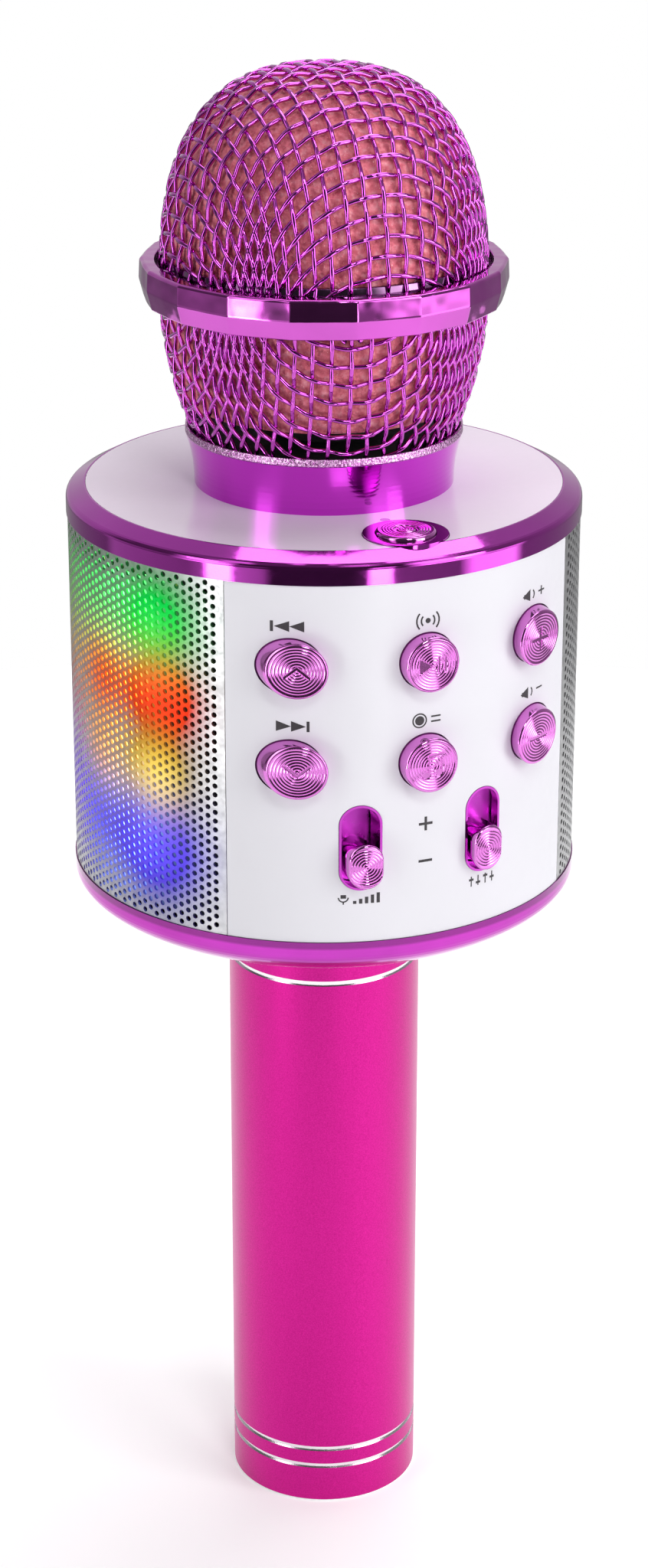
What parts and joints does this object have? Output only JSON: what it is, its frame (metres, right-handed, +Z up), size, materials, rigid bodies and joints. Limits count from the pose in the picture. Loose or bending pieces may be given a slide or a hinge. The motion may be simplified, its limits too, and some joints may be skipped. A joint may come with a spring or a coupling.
{
  "type": "toy microphone",
  "caption": "Handheld karaoke microphone: mesh head on a speaker drum with sprung keys, sliders and lit side grilles, on a satin aluminium grip.",
  "frame": {"origin": "centre of the flat bottom end of the grip", "axes": "+Z up along the grip towards the mesh head, -Y towards the front panel with the keys, +X to the right of someone facing the panel"},
  "size_m": [0.0824, 0.0847, 0.247],
  "materials": {
    "satin_magenta_aluminium": "satin anodised",
    "magenta_chrome": "tinted mirror plating",
    "magenta_mesh": "tinted plating on woven wire",
    "white_gloss_plastic": "gloss",
    "dark_plastic": "matte",
    "battery_wrap": "shrink wrap",
    "contact_brass": "bright",
    "screw_steel": "bright",
    "silver_grille": "satin perforated sheet",
    "scrim_cloth": "translucent cloth",
    "speaker_steel": "black paint",
    "speaker_paper": "pressed paper",
    "magnet_steel": "zinc plated",
    "led_white": "translucent",
    "board_green": "solder mask",
    "clear_lens": "clear lens",
    "coral_foam": "open cell foam",
    "soft_rubber": "matte"
  },
  "bodies": {
    "microphone": {"grip_tube": "satin_magenta_aluminium", "grip_end_cap": "satin_magenta_aluminium", "battery_holder": "dark_plastic", "battery": "battery_wrap", "battery_contacts": "contact_brass", "grip_coupling": "dark_plastic", "coupling_screws": "screw_steel", "lower_shell": "magenta_chrome", "front_panel": "white_gloss_plastic", "back_panel": "white_gloss_plastic", "left_grille": "silver_grille", "right_grille": "silver_grille", "left_scrim": "scrim_cloth", "right_scrim": "scrim_cloth", "top_ring": "magenta_chrome", "top_disc": "white_gloss_plastic", "chassis": "dark_plastic", "chassis_screws": "screw_steel", "left_speaker_frame": "speaker_steel", "left_speaker_cone": "speaker_paper", "left_speaker_magnet": "magnet_steel", "right_speaker_frame": "speaker_steel", "right_speaker_cone": "speaker_paper", "right_speaker_magnet": "magnet_steel", "left_led_strips": "led_white", "right_led_strips": "led_white", "key_board": "board_green", "key_switches": "dark_plastic", "slide_controls": "screw_steel", "main_board": "board_green", "board_components": "dark_plastic", "aux_jack": "dark_plastic", "charge_socket": "screw_steel", "card_holder": "screw_steel", "slider_bezels": "magenta_chrome", "power_switch": "dark_plastic", "indicator_light": "clear_lens", "neck": "dark_plastic", "collar": "magenta_chrome", "head_base": "dark_plastic", "lower_mesh": "magenta_mesh", "upper_mesh": "magenta_mesh", "head_ring": "magenta_chrome", "foam_liner": "coral_foam", "capsule_mount": "soft_rubber", "mic_capsule": "screw_steel"},
    "prev_key": {"prev_key": "magenta_chrome"},
    "next_key": {"next_key": "magenta_chrome"},
    "play_key": {"play_key": "magenta_chrome"},
    "record_key": {"record_key": "magenta_chrome"},
    "volume_up_key": {"volume_up_key": "magenta_chrome"},
    "volume_down_key": {"volume_down_key": "magenta_chrome"},
    "power_key": {"power_key": "magenta_chrome"},
    "mic_volume_slider": {"mic_volume_slider": "magenta_chrome"},
    "remix_slider": {"remix_slider": "magenta_chrome"}
  },
  "joints": [
    {"name": "prev_press", "type": "slide", "parent": "microphone", "child": "prev_key", "axis": [0, 1, 0], "range_m": [0, 0.0005], "stiffness_N_per_m": 800},
    {"name": "next_press", "type": "slide", "parent": "microphone", "child": "next_key", "axis": [0, 1, 0], "range_m": [0, 0.0005], "stiffness_N_per_m": 800},
    {"name": "play_press", "type": "slide", "parent": "microphone", "child": "play_key", "axis": [0, 1, 0], "range_m": [0, 0.0005], "stiffness_N_per_m": 800},
    {"name": "record_press", "type": "slide", "parent": "microphone", "child": "record_key", "axis": [0, 1, 0], "range_m": [0, 0.0005], "stiffness_N_per_m": 800},
    {"name": "volume_up_press", "type": "slide", "parent": "microphone", "child": "volume_up_key", "axis": [0, 1, 0], "range_m": [0, 0.0005], "stiffness_N_per_m": 800},
    {"name": "volume_down_press", "type": "slide", "parent": "microphone", "child": "volume_down_key", "axis": [0, 1, 0], "range_m": [0, 0.0005], "stiffness_N_per_m": 800},
    {"name": "power_press", "type": "slide", "parent": "microphone", "child": "power_key", "axis": [0, 0, -1], "range_m": [0, 0.0005], "stiffness_N_per_m": 800},
    {"name": "mic_volume_slide", "type": "slide", "parent": "microphone", "child": "mic_volume_slider", "axis": [0, 0, 1], "range_m": [0, 0.005]},
    {"name": "remix_slide", "type": "slide", "parent": "microphone", "child": "remix_slider", "axis": [0, 0, 1], "range_m": [0, 0.005]}
  ]
}
